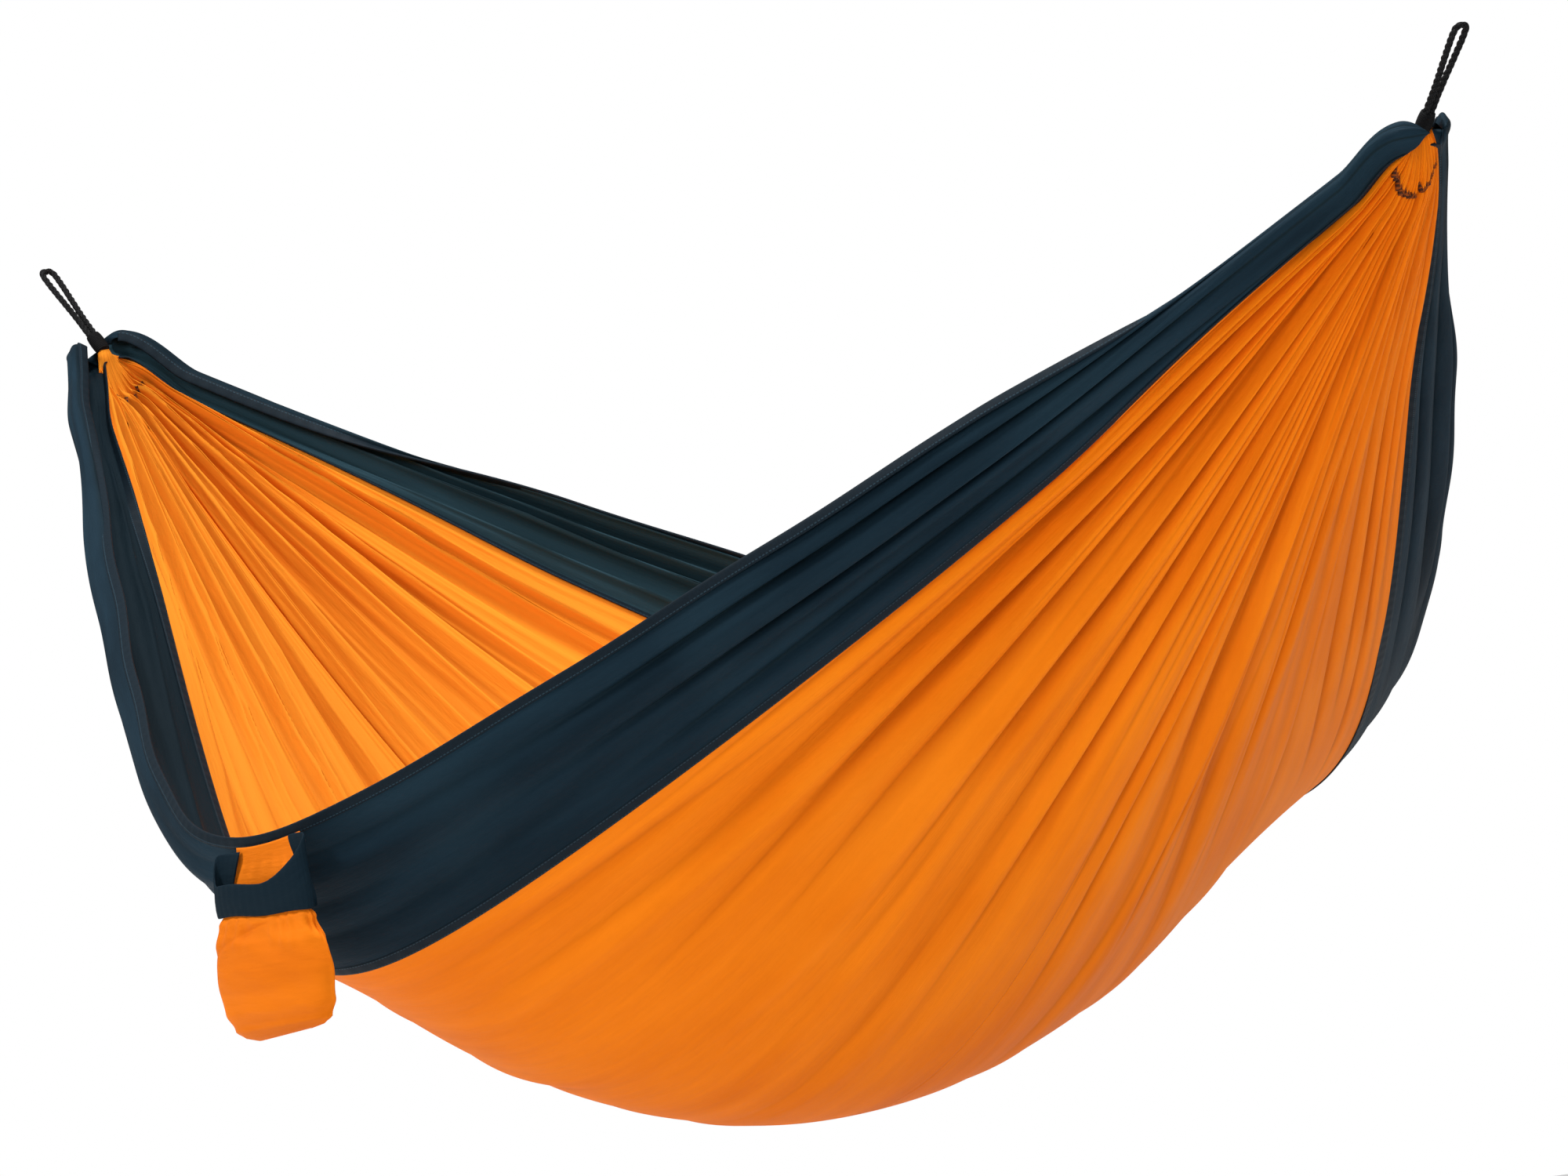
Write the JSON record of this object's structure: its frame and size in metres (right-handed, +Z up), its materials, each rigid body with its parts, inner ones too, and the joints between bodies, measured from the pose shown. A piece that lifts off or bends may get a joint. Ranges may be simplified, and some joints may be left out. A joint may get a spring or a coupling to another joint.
{
  "type": "camping hammock",
  "caption": "Two-colour gathered-end cloth hammock hung from a cord loop at each end, with a stuff sack sewn to one long edge.",
  "frame": {"origin": "halfway between the bearing faces of the two loop eyes, on the straight line that joins them", "axes": "+X along the hammock, -Y towards the long side that carries the stuff sack, +Z up"},
  "size_m": [2.3372, 1.5498, 1.0221],
  "materials": {
    "orange_nylon": "satin",
    "navy_nylon": "satin",
    "suspension_cord": "matte",
    "whipping_thread": "matte",
    "draw_cord": "matte",
    "lock_plastic": "satin",
    "spring_wire": "satin"
  },
  "bodies": {
    "suspension": {"left_loop": "suspension_cord", "right_loop": "suspension_cord"},
    "bed": {"center_panel": "orange_nylon", "near_seam": "navy_nylon", "far_seam": "navy_nylon", "left_end_channel": "orange_nylon", "left_near_gather": "navy_nylon", "left_far_gather": "navy_nylon", "left_whipping": "whipping_thread", "right_end_channel": "orange_nylon", "right_near_gather": "navy_nylon", "right_far_gather": "navy_nylon", "right_whipping": "whipping_thread"},
    "near_side": {"near_side_panel": "navy_nylon", "near_rim_hem": "navy_nylon"},
    "far_side": {"far_side_panel": "navy_nylon", "far_rim_hem": "navy_nylon"},
    "sack": {"sack_body": "orange_nylon", "sack_cuff": "navy_nylon", "sack_back_wall": "orange_nylon", "drawcord_left": "draw_cord", "drawcord_right": "draw_cord", "drawcord_knot": "draw_cord"},
    "cord_lock": {"cord_lock_barrel": "lock_plastic", "cord_lock_spring": "spring_wire"},
    "lock_button": {"cord_lock_plunger": "lock_plastic"}
  },
  "joints": [
    {"name": "bed_swing", "type": "hinge", "parent": "suspension", "child": "bed", "pos_m": [0, 0, -0.07507], "axis": [1, 0, 0], "range_deg": [-30, 30]},
    {"name": "near_side_spread", "type": "hinge", "parent": "bed", "child": "near_side", "pos_m": [0, 0, -0.07507], "axis": [-1, 0, 0], "range_deg": [-8, 20], "stiffness_Nm_per_rad": 12, "springref_deg": 2.75},
    {"name": "far_side_spread", "type": "hinge", "parent": "bed", "child": "far_side", "pos_m": [0, 0, -0.07507], "axis": [1, 0, 0], "range_deg": [-8, 20], "stiffness_Nm_per_rad": 12, "springref_deg": 2.75},
    {"name": "sack_swing", "type": "hinge", "parent": "near_side", "child": "sack", "pos_m": [0.06, -0.75482, -0.61885], "axis": [-1, 0, 0], "range_deg": [-20, 60]},
    {"name": "cord_lock_slide", "type": "slide", "parent": "sack", "child": "cord_lock", "axis": [0, 0, 1], "range_m": [-0.02, 0.02]},
    {"name": "lock_button_press", "type": "slide", "parent": "cord_lock", "child": "lock_button", "axis": [0, -1, 0], "range_m": [0, 0.002], "stiffness_N_per_m": 600, "springref_m": -0.001, "deforming": ["cord_lock_spring"]}
  ]
}
